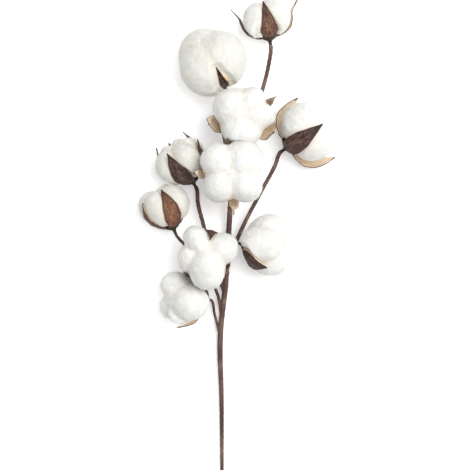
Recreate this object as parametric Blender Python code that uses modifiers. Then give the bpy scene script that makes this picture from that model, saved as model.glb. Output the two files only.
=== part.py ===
"""A cut cotton stem: a branching stem that lies on a surface and carries ten open bolls.

Metres, +Z up. The stem runs along Y, from its cut end at -Y to the boll at its tip at +Y.
Each boll is two solids. The bur is a stalk and a cup with three to five dry, pointed valves.
The cotton is one tuft with as many lobes as there are valves, one lobe in each gap between
two valves. The lobes bulge out past the valves, lie flat where the boll rests on the surface,
and are pressed flat where two bolls meet.

A boll's own frame has its origin in the middle of the cotton and +Z towards its open end.
Points in it are given by beta, the angle up from the stalk, and phi, the angle round the axis.
"""

import math
from dataclasses import dataclass

import bmesh
import bpy
import numpy as np
from mathutils import Matrix, Vector

OBJECT_NAME = "cotton_stem_bunch"

# Cotton: a lobe's middle and its outermost point, as shares of the boll's radius, and its
# other two half axes, as shares of the one that points outwards
LOBE_OFFSET = 0.44
LOBE_REACH = 1.04
LOBE_SIDE = 0.93
LOBE_SIDE_AT = 90
LOBE_AXIAL = 1.20
LOBE_TILT = math.radians(12)
HEART = 0.55
COTTON_RINGS = 12
CLEFT_HALF_ANGLE = math.radians(6)
CROWDED_EDGE = 0.96
SHOULDER = 0.4
FIRST_COLUMN = 0.25  # of a turn: where the sphere primitive has its first column

# Valves: the thin pointed shells of the bur. Shares are of the boll's radius.
VALVE_RADIUS = 0.90
VALVE_START = math.radians(14)
VALVE_END = math.radians(113)
VALVE_HALF_WIDTH = 0.38
VALVE_CROWDING = 0.80
VALVE_BELLY = 0.65
VALVE_FLICK_START = 0.76
VALVE_THICKNESS = 0.0010
LEAF_OUTLINE = ((0.0, 0.4), (0.2, 0.78), (0.4, 1.0), (0.6, 0.82), (0.8, 0.44), (1.0, 0.03))
SPADE_OUTLINE = ((0.0, 0.5), (0.12, 0.9), (0.25, 1.0), (0.5, 0.70), (0.75, 0.36), (1.0, 0.03))
VALVE_STEPS_ACROSS = 4
VALVE_STEPS_ALONG = 6

# Cup, calyx and stalk that carry the valves
CUP_THICKNESS = 0.0018
CUP_RADIUS = 0.0110
CUP_CLEARANCE = math.radians(10)
LIP_SLOPE = 2.0
CALYX_RADIUS = 0.0062
CALYX_LIP = 0.0013
CALYX_DEPTH = 0.0030
CALYX_FLARE = 1.7
STALK_RADIUS = 0.0018
STALK_LENGTH = 0.0075
CUP_SIDES = 10

# Clearances
COTTON_INSET = 0.0006
VALVE_MARGIN = 0.0008
SEAT_GAP = 0.0003
PRESS_GAP = 0.0004
WELD = 0.00001
SHARP_EDGE = math.radians(50)


@dataclass
class Boll:
    """One open boll. Angles are in degrees. azimuths places the valves round the axis, and
    each lobe lies midway between two of them. spread is how far out the lobes sit, and blend
    how softly they run together. Each lobe has a puff, its size, a broad, its width round the
    axis, and a drop, its height towards the open end. Each valve has a length, a width and a
    spade: 1 for a spade that is widest low down, 0 for a leaf, less for one that is widest
    high up. It leans out by its splay, its tip bends out by its flick and turns round the
    axis by its hook, in radians."""

    name: str
    centre: tuple
    radius: float
    heading: float
    lift: float
    azimuths: tuple = (0, 90, 180, 270)
    spread: float = 1.0
    blend: float = 0.035
    puff: tuple = (1, 1, 1, 1, 1)
    broad: tuple = (1, 1, 1, 1, 1)
    drop: tuple = (0, 0, 0, 0, 0)
    length: tuple = (1, 1, 1, 1, 1)
    width: tuple = (1, 1, 1, 1, 1)
    spade: tuple = (0, 0, 0, 0, 0)
    splay: tuple = (0, 0, 0, 0, 0)
    flick: tuple = (0.05, 0.05, 0.05, 0.05, 0.05)
    hook: tuple = (0, 0, 0, 0, 0)

    def count(self):
        return len(self.azimuths)

    def valve_phi(self, index):
        """Angle of a valve. Counting on past the last one goes on round the axis."""
        return math.radians(self.azimuths[index % self.count()] + index // self.count() * 360)

    def gap(self, index):
        """Angle from a valve to the next one."""
        return self.valve_phi(index + 1) - self.valve_phi(index)

    def sphere(self):
        """Radius of the sphere that the valves lie on."""
        return VALVE_RADIUS * self.radius

    def cup_edge(self):
        """Angle from the stalk to the cup's lip."""
        return math.asin(CUP_RADIUS / self.sphere())

    def calyx_edge(self):
        """Angle from the stalk to the calyx's lip."""
        return math.asin(CALYX_RADIUS / self.sphere())

    def axis(self):
        """Unit vector towards the open end."""
        heading, lift = math.radians(self.heading), math.radians(self.lift)
        return Vector(
            (
                math.cos(heading) * math.cos(lift),
                math.sin(heading) * math.cos(lift),
                math.sin(lift),
            )
        )

    def matrix(self):
        heading, lean = math.radians(self.heading), math.radians(90 - self.lift)
        turn = Matrix.Rotation(heading, 4, "Z") @ Matrix.Rotation(lean, 4, "Y")
        return Matrix.Translation(self.centre) @ turn

    def stalk_end(self):
        """The middle of the stalk's end face."""
        depth = self.sphere() + CUP_THICKNESS / 2 + STALK_LENGTH
        return Vector(self.centre) - self.axis() * depth


BOLLS = [
    Boll(
        "boll_01",
        (0.0340, 0.2410, 0.0230),
        0.0265,
        100,
        12,
        azimuths=(0, 96, 183, 284),
        puff=(1, 1.24, 1.1, 1),
        drop=(-0.1, -0.3, -0.05, 0),
        length=(1, 0.98, 1.2, 0.93),
        width=(1, 0.9, 1.2, 1.0),
        spade=(0, -0.9, 1, 0.3),
        splay=(0.1, 0.2, 0.04, 0.2),
        flick=(0.1, 0.4, 0.05, 0.5),
        hook=(0, 0, -0.12, 0.1),
    ),
    Boll(
        "boll_02",
        (-0.0255, 0.1890, 0.0312),
        0.0360,
        120,
        44,
        azimuths=(70, 180, 308),
        spread=0.84,
        blend=0.09,
        puff=(1.08, 1.08, 1.14),
        drop=(0.02, 0.02, 0.0),
        length=(0.6, 1.0, 0.5),
        width=(0.5, 0.38, 0.5),
        spade=(0, -0.6, 0),
        splay=(0.0, -0.14, 0),
        flick=(0, 0, 0),
    ),
    Boll(
        "boll_03",
        (0.0090, 0.1290, 0.0500),
        0.0330,
        0,
        90,
        azimuths=(29, 92, 195, 330),
        spread=1.02,
        blend=0.1,
        puff=(0.98, 1.08, 0.98, 0.98),
        length=(1.0, 0.4, 0.95, 0.98),
        width=(0.28, 0.4, 0.85, 0.95),
        spade=(1, 0, 0.4, 0.2),
        splay=(0.16, 0, 0.18, 0.19),
        flick=(0.26, 0, 0.16, 0.14),
    ),
    Boll(
        "boll_04",
        (0.0820, 0.1140, 0.0290),
        0.0350,
        35,
        22,
        azimuths=(0, 65, 186, 290),
        puff=(0.88, 0.96, 0.94, 0.88),
        length=(0.8, 0.84, 1.2, 0.8),
        width=(1, 1.2, 0.94, 1.05),
        spade=(0, -0.4, 0, -0.7),
        splay=(0.1, 0.27, 0.04, 0.26),
        flick=(0, 0.05, 0.08, 0.04),
    ),
    Boll(
        "boll_05",
        (-0.0595, 0.0810, 0.0258),
        0.0285,
        120,
        20,
        azimuths=(5, 58, 163, 252, 304),
        length=(1.2, 1.3, 1.22, 1.04, 1.25),
        width=(0.8, 0.6, 1.08, 1.5, 0.8),
        splay=(0.05, 0.02, 0.02, 0.02, 0.1),
        flick=(0.05, 0.16, 0.12, 0.22, 0.15),
        hook=(0, 0, -0.12, 0, 0),
    ),
    Boll(
        "boll_06",
        (-0.0030, 0.0670, 0.0580),
        0.0360,
        0,
        90,
        azimuths=(0, 98, 182, 272),
        spread=1.08,
        blend=0.06,
        puff=(1.12, 1.08, 0.98, 1.02),
        length=(0.3, 0.92, 1.0, 1.04),
        width=(0.5, 0.45, 0.42, 0.42),
        spade=(0, 1, 1, 1),
        splay=(-0.1, 0.12, 0.13, 0.12),
        flick=(0, 0.2, 0.22, 0.4),
    ),
    Boll(
        "boll_07",
        (-0.0780, 0.0320, 0.0252),
        0.0280,
        112,
        12,
        azimuths=(8, 118, 194, 298),
        length=(1, 1.08, 1.27, 1),
        width=(1, 0.9, 1, 0.8),
        splay=(0.05, 0.0, 0.02, 0),
        flick=(0.05, 0.04, 0.05, 0),
    ),
    Boll(
        "boll_08",
        (-0.0310, -0.0200, 0.0480),
        0.0340,
        0,
        88,
        azimuths=(76, 176, 227, 318),
        spread=1.06,
        blend=0.04,
        puff=(0.95, 0.84, 1.2, 1.0),
        broad=(0.78, 1.5, 0.92, 0.86),
        drop=(0, -0.05, 0.16, 0),
        length=(1.3, 0.3, 1.0, 1.05),
        width=(0.7, 0.3, 0.55, 1.0),
        spade=(0, 0, 0, -0.3),
        splay=(-0.15, 0, 0.03, -0.06),
        flick=(0, 0, 0.12, 0.22),
    ),
    Boll(
        "boll_09",
        (0.0375, -0.0110, 0.0292),
        0.0320,
        -3,
        15,
        azimuths=(45, 130, 226, 315),
        puff=(1.02, 1.08, 1.02, 1.02),
        drop=(-0.05, -0.2, 0, 0),
        length=(1.0, 0.28, 0.84, 1.0),
        width=(1.0, 0.25, 1.6, 1.0),
        spade=(0, 0, 0.3, 0),
        splay=(0.10, 0, 0.08, 0.10),
        flick=(0.05, 0, 0.10, 0.05),
    ),
    Boll(
        "boll_10",
        (-0.0588, -0.0712, 0.0262),
        0.0310,
        178,
        33,
        azimuths=(92, 120, 224, 335),
        spread=1.1,
        blend=0.1,
        puff=(0.72, 1.05, 0.92, 0.84),
        broad=(1, 1.06, 0.95, 1),
        drop=(0.1, -0.12, 0.15, 0.02),
        length=(0.86, 0.3, 0.7, 0.9),
        width=(1.0, 0.3, 1.2, 0.8),
        spade=(-1, 0, 0, 0),
        splay=(0.04, 0, 0.1, 0),
        flick=(0.05, 0, 0.05, 0.05),
    ),
]

# Stems: centreline points with a radius at each. The main stem starts at its cut end.
MAIN_STEM = [
    (-0.0145, -0.2700, 0.0020, 0.0018),
    (-0.0150, -0.1840, 0.0038, 0.0025),
    (-0.0165, -0.1170, 0.0065, 0.0031),
    (-0.0145, -0.0890, 0.0080, 0.0031),
    (-0.0110, -0.0610, 0.0090, 0.0031),
    (-0.0090, -0.0300, 0.0100, 0.0031),
    (-0.0065, 0.0110, 0.0110, 0.0030),
    (-0.0045, 0.0440, 0.0120, 0.0028),
    (-0.0020, 0.0700, 0.0120, 0.0024),
]
# Side stems: a radius, then points from inside the stem that it grows from up to its boll.
SIDE_STEMS = {
    "boll_01": (
        0.0022,
        [
            (-0.003, 0.061, 0.012),
            (0.012, 0.105, 0.010),
            (0.023, 0.133, 0.011),
            (0.030, 0.159, 0.014),
            (0.037, 0.187, 0.018),
        ],
    ),
    "boll_02": (
        0.0021,
        [
            (-0.004, 0.056, 0.012),
            (-0.011, 0.104, 0.011),
            (-0.0145, 0.119, 0.011),
            (-0.021, 0.139, 0.013),
        ],
    ),
    "boll_03": (0.0022, [(0.006, 0.089, 0.011), (0.011, 0.108, 0.010)]),
    "boll_04": (
        0.0022,
        [
            (-0.009, -0.033, 0.010),
            (0.002, -0.0055, 0.013),
            (0.0145, 0.021, 0.015),
            (0.030, 0.050, 0.017),
            (0.044, 0.076, 0.018),
        ],
    ),
    "boll_05": (
        0.0022,
        [
            (-0.012, -0.063, 0.009),
            (-0.0245, -0.030, 0.010),
            (-0.035, 0.011, 0.012),
            (-0.041, 0.035, 0.014),
        ],
    ),
    "boll_06": (0.0024, [(-0.003, 0.056, 0.012)]),
    "boll_07": (
        0.0017,
        [
            (-0.0145, -0.092, 0.008),
            (-0.021, -0.062, 0.010),
            (-0.039, -0.037, 0.011),
            (-0.055, -0.012, 0.014),
        ],
    ),
    "boll_08": (0.0022, [(-0.011, -0.056, 0.009), (-0.025, -0.036, 0.009)]),
    "boll_09": (0.0022, [(-0.008, -0.028, 0.010), (-0.004, -0.018, 0.014)]),
    "boll_10": (0.0015, [(-0.017, -0.112, 0.007), (-0.0225, -0.089, 0.010)]),
}
STEM_END_HANDLE = 0.006
STEM_STEPS = 3
MAIN_STEM_BEVEL = 2
SIDE_STEM_BEVEL = 1

COLOURS = {
    "cotton": ((0.92, 0.91, 0.87), 0.95),
    "bur": ((0.13, 0.075, 0.055), 0.70),
    "stem": ((0.16, 0.10, 0.085), 0.75),
}


def clear_scene():
    for obj in list(bpy.data.objects):
        bpy.data.objects.remove(obj)


def material(name):
    colour, roughness = COLOURS[name]
    made = bpy.data.materials.new(name)
    made.use_nodes = True
    shader = made.node_tree.nodes["Principled BSDF"]
    shader.inputs["Base Color"].default_value = (*colour, 1)
    shader.inputs["Roughness"].default_value = roughness
    shader.inputs["Metallic"].default_value = 0
    return made


def collection(name):
    made = bpy.data.collections.new(name)
    bpy.context.scene.collection.children.link(made)
    return made


def add_object(name, data, group):
    made = bpy.data.objects.new(name, data)
    group.objects.link(made)
    return made


def evaluated_mesh(obj):
    """The object's mesh with its modifiers applied and a curve's loose caps welded."""
    graph = bpy.context.evaluated_depsgraph_get()
    mesh = bpy.data.meshes.new_from_object(obj.evaluated_get(graph))
    shape = bmesh.new()
    shape.from_mesh(mesh)
    bmesh.ops.remove_doubles(shape, verts=shape.verts, dist=WELD)
    shape.to_mesh(mesh)
    shape.free()
    return mesh


def remove_collection(group):
    for obj in list(group.objects):
        bpy.data.objects.remove(obj)
    bpy.data.collections.remove(group)


def joined(base, others):
    """One mesh: base and the collection's objects, as a Boolean union. Removes them all."""
    union = base.modifiers.new("Join", "BOOLEAN")
    union.operation = "UNION"
    union.operand_type = "COLLECTION"
    union.collection = others
    union.solver = "EXACT"
    mesh = evaluated_mesh(base)
    bpy.data.objects.remove(base)
    remove_collection(others)
    return mesh


# --- The shape of a boll ---------------------------------------------------------------


def direction(beta, phi):
    return np.array([np.sin(beta) * np.cos(phi), np.sin(beta) * np.sin(phi), -np.cos(beta)])


def valve_end(boll, index):
    return VALVE_START + (VALVE_END - VALVE_START) * boll.length[index]


def valve_share(boll, index, beta):
    """How far along the valve beta lies, from 0 at its root to 1 at its tip."""
    return (beta - VALVE_START) / (valve_end(boll, index) - VALVE_START)


def valve_angle(boll, index, beta):
    """Angle round the axis of the valve's middle line, which its hook bends."""
    own = index % boll.count()
    share = min(max(valve_share(boll, own, beta), 0), 1)
    return boll.valve_phi(index) + boll.hook[own] * share**3


def valve_half_angle(boll, index, beta):
    """Half the angle round the axis that the valve covers at beta."""
    share = min(max(valve_share(boll, index, beta), 0), 1)
    leaf = np.interp(share, *zip(*LEAF_OUTLINE))
    outline = leaf + boll.spade[index] * (np.interp(share, *zip(*SPADE_OUTLINE)) - leaf)
    width = VALVE_HALF_WIDTH * boll.radius * boll.width[index] * outline
    crowded = VALVE_CROWDING * min(boll.gap(index - 1), boll.gap(index)) / 2
    return min(width / (boll.sphere() * math.sin(beta)), crowded)


def valve_radius(boll, index, beta):
    """Distance of the valve's middle surface from the boll's centre."""
    share = max(valve_share(boll, index, beta), 0)
    belly = math.sin(math.pi / 2 * min(share / VALVE_BELLY, 1))
    flick = max(share - VALVE_FLICK_START, 0) / (1 - VALVE_FLICK_START)
    return boll.sphere() + boll.radius * (boll.splay[index] * belly + boll.flick[index] * flick**2)


def lobe_exit(boll, index, ray):
    """Distance along the ray, from the boll's centre, to the far side of one lobe. A ray
    that misses the lobe is given the distance at which it passes nearest."""
    phi = boll.valve_phi(index) + boll.gap(index) / 2
    offset = LOBE_OFFSET * boll.spread * boll.radius
    size = (LOBE_REACH * boll.radius - offset) * boll.puff[index]
    crowding = math.sqrt(math.degrees(boll.gap(index)) / LOBE_SIDE_AT)
    side = LOBE_SIDE * crowding * boll.broad[index]
    outwards = np.array([math.cos(phi), math.sin(phi), 0])
    sideways = np.array([-math.sin(phi), math.cos(phi), 0])
    upwards = np.array([0, 0, 1])
    along = math.cos(LOBE_TILT) * upwards + math.sin(LOBE_TILT) * outwards
    across = math.cos(LOBE_TILT) * outwards - math.sin(LOBE_TILT) * upwards
    axes = np.array([across, sideways, along])
    halves = size * np.array([1, side, LOBE_AXIAL])
    centre = offset * outwards + boll.drop[index] * boll.radius * upwards
    start = axes @ -centre / halves
    step = axes @ ray / halves
    a, b, c = step @ step, start @ step, start @ start - 1
    return (math.sqrt(max(b * b - a * c, 0)) - b) / a


def lobes_radius(boll, ray):
    """Distance to the surface of the lobes, which run softly into each other and into the
    heart of the tuft."""
    blend = boll.blend * boll.radius
    exits = [lobe_exit(boll, index, ray) / blend for index in range(boll.count())]
    exits.append(HEART * boll.radius / blend)
    return blend * (max(exits) + math.log(sum(math.exp(e - max(exits)) for e in exits)))


def press_planes(boll):
    """Planes that the boll stays behind, as (normal, distance) in its own frame: the surface
    that it lies on, and one between it and each other boll."""
    turn = np.array(boll.matrix().to_3x3()).T
    centre = Vector(boll.centre)
    planes = [(turn @ np.array([0, 0, -1]), centre.z)]
    for other in BOLLS:
        if other is boll:
            continue
        apart = Vector(other.centre) - centre
        middle = (apart.length_squared + boll.radius**2 - other.radius**2) / (2 * apart.length)
        planes.append((turn @ np.array(apart.normalized()), middle - PRESS_GAP / 2))
    return planes


def pressed(distance, ray, planes, depth=0):
    """The distance along the ray, cut short where it would come within depth of a plane."""
    for normal, limit in planes:
        if normal @ ray > 0:
            distance = min(distance, (limit - depth) / (normal @ ray))
    return distance


def valve_distance(boll, index, beta, ray, planes):
    """Distance to the middle of a valve that may be pressed flat."""
    return pressed(valve_radius(boll, index, beta), ray, planes, VALVE_THICKNESS / 2)


def cotton_distance(boll, ray, beta, valve, planes):
    """Distance to the cotton's surface, which fills the cup. valve is the one that covers
    this ray, or None."""
    in_cup = boll.sphere() - CUP_THICKNESS / 2 - COTTON_INSET
    past_lip = max(beta - boll.cup_edge() - CUP_CLEARANCE, 0) * boll.sphere()
    distance = in_cup + LIP_SLOPE * past_lip
    if past_lip > 0:
        distance = min(distance, pressed(lobes_radius(boll, ray), ray, planes))
    if valve is not None:
        inside = VALVE_THICKNESS / 2 + COTTON_INSET
        under = min(beta, valve_end(boll, valve))
        distance = min(distance, valve_distance(boll, valve, under, ray, planes) - inside)
    return distance


# --- The solids ------------------------------------------------------------------------


def valve_edge(boll, index, beta):
    """Half the angle of the cotton's cleft at a valve, and the valve, or None from a ring
    past its tip."""
    margin = VALVE_MARGIN / boll.sphere()
    if beta > valve_end(boll, index) + math.pi / COTTON_RINGS:
        return CLEFT_HALF_ANGLE, None
    edge = valve_half_angle(boll, index, beta) + margin / math.sin(beta)
    return max(edge, CLEFT_HALF_ANGLE), index


def cotton_columns(boll, beta):
    """Angles round the axis of one ring's points, each with the valve that covers it: six
    from each valve to the next. They are the valve's middle, its edge, the lobe's shoulder,
    the lobe's middle, its other shoulder and the next valve's edge."""
    columns = []
    for index in range(boll.count()):
        start = valve_angle(boll, index, beta)
        gap = valve_angle(boll, index + 1, beta) - start
        edge, valve = valve_edge(boll, index, beta)
        far_edge, far_valve = valve_edge(boll, (index + 1) % boll.count(), beta)
        edge, far_edge = min(edge, CROWDED_EDGE * gap / 2), min(far_edge, CROWDED_EDGE * gap / 2)
        columns.append((start, valve))
        columns.append((start + edge, valve))
        columns.append((start + edge + SHOULDER * (gap / 2 - edge), None))
        columns.append((start + gap / 2, None))
        columns.append((start + gap - far_edge - SHOULDER * (gap / 2 - far_edge), None))
        columns.append((start + gap - far_edge, far_valve))
    return columns


def make_cotton(boll):
    """A UV sphere whose rings and columns are moved onto the cotton's surface."""
    planes = press_planes(boll)
    sides = 6 * boll.count()
    shape = bmesh.new()
    bmesh.ops.create_uvsphere(shape, u_segments=sides, v_segments=COTTON_RINGS, radius=1)
    for vertex in shape.verts:
        beta = math.pi - math.acos(max(-1, min(1, vertex.co.z)))
        ring = round(beta / math.pi * COTTON_RINGS)
        if ring in (0, COTTON_RINGS):
            phi, valve = 0, None
        else:
            turn = math.atan2(vertex.co.y, vertex.co.x) / (2 * math.pi) - FIRST_COLUMN
            phi, valve = cotton_columns(boll, beta)[round(turn * sides) % sides]
        ray = direction(beta, phi)
        vertex.co = Vector(ray) * cotton_distance(boll, ray, beta, valve, planes)
    mesh = bpy.data.meshes.new(boll.name + "_cotton")
    shape.to_mesh(mesh)
    shape.free()
    mesh.shade_smooth()
    return mesh


def make_valve(boll, index, group):
    """One pointed shell: a grid bent onto the bur's sphere, then given its thickness."""
    planes = press_planes(boll)
    shape = bmesh.new()
    bmesh.ops.create_grid(
        shape, x_segments=VALVE_STEPS_ACROSS, y_segments=VALVE_STEPS_ALONG, size=1
    )
    for vertex in shape.verts:
        share = (vertex.co.y + 1) / 2
        beta = VALVE_START + share * (valve_end(boll, index) - VALVE_START)
        phi = valve_angle(boll, index, beta) + vertex.co.x * valve_half_angle(boll, index, beta)
        ray = direction(beta, phi)
        vertex.co = Vector(ray) * valve_distance(boll, index, beta, ray, planes)
    mesh = bpy.data.meshes.new("valve")
    shape.to_mesh(mesh)
    shape.free()
    valve = add_object("valve", mesh, group)
    wall = valve.modifiers.new("Wall", "SOLIDIFY")
    wall.thickness = VALVE_THICKNESS
    wall.offset = 0
    return valve


def cup_profile(boll):
    """Half outline of the cup, calyx and stalk, down the outer side from the axis inside."""
    inner = boll.sphere() - CUP_THICKNESS / 2
    outer = boll.sphere() + CUP_THICKNESS / 2
    inner_arc = [(inner, boll.cup_edge() * share) for share in (0, 0.5, 1)]
    outer_arc = [(outer, boll.cup_edge()), (outer, boll.calyx_edge())]
    points = [(r * math.sin(beta), -r * math.cos(beta)) for r, beta in inner_arc + outer_arc]
    lip_x, lip_z = points[-1]
    points.append((lip_x + CALYX_LIP, lip_z - CALYX_LIP))
    points.append((STALK_RADIUS * CALYX_FLARE, -outer - CALYX_DEPTH))
    points.append((STALK_RADIUS, -outer - CALYX_DEPTH - STALK_RADIUS))
    points.append((STALK_RADIUS, -outer - STALK_LENGTH))
    points.append((0, -outer - STALK_LENGTH))
    return points


def make_cup(boll, group):
    profile = cup_profile(boll)
    mesh = bpy.data.meshes.new("cup")
    steps = [(i, i + 1) for i in range(len(profile) - 1)]
    mesh.from_pydata([(x, 0, z) for x, z in profile], steps, [])
    cup = add_object("cup", mesh, group)
    turned = cup.modifiers.new("Turn", "SCREW")
    turned.axis = "Z"
    turned.steps = turned.render_steps = CUP_SIDES
    turned.use_merge_vertices = True
    turned.merge_threshold = WELD
    return cup


def make_bur(boll, group):
    valves = collection("valves")
    for index in range(boll.count()):
        make_valve(boll, index, valves)
    mesh = joined(make_cup(boll, group), valves)
    mesh.name = boll.name + "_bur"
    mesh.shade_smooth()
    mesh.set_sharp_from_angle(angle=SHARP_EDGE)
    return mesh


def make_boll(boll, group, root, materials):
    """The boll's two solids, parented to an empty in the middle of its cotton."""
    middle = add_object(boll.name, None, group)
    middle.parent = root
    middle.matrix_local = boll.matrix()
    for part, mesh in (("cotton", make_cotton(boll)), ("bur", make_bur(boll, group))):
        mesh.materials.clear()
        mesh.materials.append(materials[part])
        add_object(f"{boll.name}_{part}", mesh, group).parent = middle


def tube(name, points, bevel, group, end_direction=None):
    """A closed tapered tube through (x, y, z, radius) points."""
    curve = bpy.data.curves.new(name, "CURVE")
    curve.dimensions = "3D"
    curve.resolution_u = STEM_STEPS
    curve.bevel_depth = 1
    curve.bevel_resolution = bevel
    curve.use_fill_caps = True
    spline = curve.splines.new("BEZIER")
    spline.bezier_points.add(len(points) - 1)
    for point, (*place, radius) in zip(spline.bezier_points, points):
        point.co = place
        point.radius = radius
        point.handle_left_type = point.handle_right_type = "AUTO"
    if end_direction is not None:
        last = spline.bezier_points[-1]
        last.handle_left_type = last.handle_right_type = "FREE"
        last.handle_left = last.co - end_direction * STEM_END_HANDLE
        last.handle_right = last.co + end_direction * STEM_END_HANDLE
    return add_object(name, curve, group)


def as_mesh_object(curve_object, group):
    mesh = evaluated_mesh(curve_object)
    name = curve_object.name
    bpy.data.objects.remove(curve_object)
    return add_object(name, mesh, group)


def make_stem(group):
    """The main stem and the side stems that grow from it, as one solid."""
    main_stem = as_mesh_object(tube("main_stem", MAIN_STEM, MAIN_STEM_BEVEL, group), group)
    sides = collection("side_stems")
    for boll in BOLLS:
        radius, route = SIDE_STEMS[boll.name]
        end = boll.stalk_end() - boll.axis() * SEAT_GAP
        points = [(*place, radius) for place in [*route, tuple(end)]]
        side = tube("side_stem", points, SIDE_STEM_BEVEL, sides, boll.axis())
        as_mesh_object(side, sides)
    mesh = joined(main_stem, sides)
    mesh.name = "stem"
    mesh.shade_smooth()
    mesh.set_sharp_from_angle(angle=SHARP_EDGE)
    return mesh


def centre_on_origin(root, group):
    """Moves everything so that the middle of the whole object's footprint is the origin."""
    bpy.context.view_layer.update()
    corners = [
        obj.matrix_world @ vertex.co
        for obj in group.objects
        if obj.type == "MESH"
        for vertex in obj.data.vertices
    ]
    for axis in (0, 1):
        places = [corner[axis] for corner in corners]
        root.location[axis] = -(min(places) + max(places)) / 2


def main():
    clear_scene()
    materials = {name: material(name) for name in COLOURS}
    group = collection(OBJECT_NAME)
    root = add_object(OBJECT_NAME, None, group)
    for boll in BOLLS:
        make_boll(boll, group, root, materials)
    stem_mesh = make_stem(group)
    stem_mesh.materials.clear()
    stem_mesh.materials.append(materials["stem"])
    add_object("stem", stem_mesh, group).parent = root
    centre_on_origin(root, group)


main()
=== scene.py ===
"""The looks of a cut cotton stem: fluffy open bolls on taped brown stems.

Everything is in metres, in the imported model's frame. Each boll is given by the same numbers
as its solids: a centre, a radius, the way it faces, and the angles of its valves round its
axis. A boll's own frame has its origin in the middle of the cotton and +Z towards its open
end. Points in it are given by beta, the angle up from the stalk, and phi, the angle round
the axis.
"""

import math
from dataclasses import dataclass

import bmesh
import bpy
import numpy as np
from mathutils import Matrix, Vector, noise

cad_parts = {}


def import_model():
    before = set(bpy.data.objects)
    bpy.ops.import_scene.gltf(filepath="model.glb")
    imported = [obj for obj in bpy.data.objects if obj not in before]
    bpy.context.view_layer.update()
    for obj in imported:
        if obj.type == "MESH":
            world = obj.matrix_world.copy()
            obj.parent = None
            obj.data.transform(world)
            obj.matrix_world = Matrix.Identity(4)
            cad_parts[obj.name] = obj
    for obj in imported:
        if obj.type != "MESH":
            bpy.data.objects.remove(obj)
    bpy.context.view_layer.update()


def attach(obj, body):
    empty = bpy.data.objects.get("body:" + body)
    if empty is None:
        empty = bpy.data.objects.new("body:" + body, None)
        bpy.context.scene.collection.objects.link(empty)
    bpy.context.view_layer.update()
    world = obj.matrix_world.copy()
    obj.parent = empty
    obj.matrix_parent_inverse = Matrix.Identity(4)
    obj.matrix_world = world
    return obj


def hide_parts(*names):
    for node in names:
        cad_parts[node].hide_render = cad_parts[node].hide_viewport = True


# Where the middle of the footprint puts the tables below
SHIFT = Vector((-0.002975, 0.003493, 0.0))
GROUND = 0.0001  # the lowest that lint and stems come

# The lobes of a boll, as shares of its radius
LOBE_OFFSET = 0.44
LOBE_REACH = 1.04
LOBE_SIDE = 0.93
LOBE_SIDE_AT = 90  # degrees between valves that give a lobe that side
LOBE_AXIAL = 1.20
LOBE_TILT = math.radians(12)
HEART = 0.55

# The valves. Radius and half width are shares of the boll's radius.
VALVE_RADIUS = 0.90
VALVE_START = math.radians(14)
VALVE_END = math.radians(113)
VALVE_HALF_WIDTH = 0.38
VALVE_CROWDING = 0.80  # the most that a valve may fill of the way to the next one
VALVE_THICKNESS = 0.0008
VALVE_COLUMNS = 16
VALVE_ROWS = 34
SHARP_EDGE = math.radians(60)
# A valve's half width at shares of its length
LEAF_OUTLINE = ((0.0, 0.4), (0.2, 0.78), (0.4, 1.0), (0.6, 0.82), (0.8, 0.44), (1.0, 0.03))
SPADE_OUTLINE = ((0.0, 0.5), (0.12, 0.9), (0.25, 1.0), (0.5, 0.70), (0.75, 0.36), (1.0, 0.03))
# Shares of its length: where its belly is full, where its tip starts to bend out, where it
# starts to come free of the cup and how long that takes, and how long its rolled edges fade
VALVE_BELLY = 0.65
VALVE_FLICK_START = 0.76
FREE_START = 0.15
FREE_LENGTH = 0.3
ROLL_FADE = 0.25
# Shares of its half width where its edge starts to roll, that a rolled edge still takes up,
# that its edge waves by, and that its keel covers
ROLL_START = 0.74
ROLL_TAKES_UP = 0.25
ROLLED = 0.02  # radians that an edge turns by before it counts as rolled
EDGE_WAVE = 0.13
KEEL_WIDTH = 0.16
KEEL_HEIGHT = 0.0005
RIPPLE = 0.0008

# Cup and calyx
CUP_THICKNESS = 0.0018
CUP_RADIUS = 0.0110
CUP_CLEARANCE = math.radians(4)
CUP_UNEVENNESS = 0.05
CUP_COLUMNS = 80
CUP_TONE = 0.2
CUP_PATTERNS = 3  # how many valves' widths of pattern go round the cup
CUP_PATTERN_STEP = 0.08  # share of a valve's length of pattern from ring to ring
CALYX_RADIUS = 0.0062
CALYX_TEETH = 5
TOOTH_UNEVENNESS = 0.9
# Rings of the collar: how far out and up from the calyx's edge, then how much further out
# and up at a tooth
COLLAR_RINGS = (
    (0.0009, 0.0006, 0.0010, 0.0034),
    (0.0012, 0.0004, 0.0009, 0.0033),
    (0.0006, -0.0010, 0.0002, 0.0),
)

# Neck under the calyx, and the stalk
NECK_START = 0.0010
NECK_END = 0.0032
NECK_MARGIN = 0.0004
NECK_FLARE = 1.35
NECK_CURVE = 0.8
NECK_SHARES = np.linspace(0.15, 1, 7)
STALK_START = 0.0030
STALK_RADIUS = 0.0018
STALK_LENGTH = 0.0075
STALK_SHARES = np.linspace(0.1, 1, 6)

# Room left between neighbours
COTTON_INSET = 0.0005
SEAT_GAP = 0.0003
PRESS_GAP = 0.0004

# Cotton grid: degrees between columns, columns under half a valve, the least angle and the
# most of a gap that those cover, and rings
COLUMN_STEP = 2.5
HALF_VALVE_COLUMNS = 4
LEAST_HALF_VALVE = math.radians(4)
MOST_OF_GAP = 0.48
RINGS = 96
NEAR_POLE = 1e-4
SWELL = 0.0042  # how far from a valve's edge the cotton has swelled past it
LOOSE_AT = 1.3  # how many times as far the lint is wholly loose
CREASE_DEPTH = 0.0021  # how far the lobes part before a crease's painted shade has faded
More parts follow.
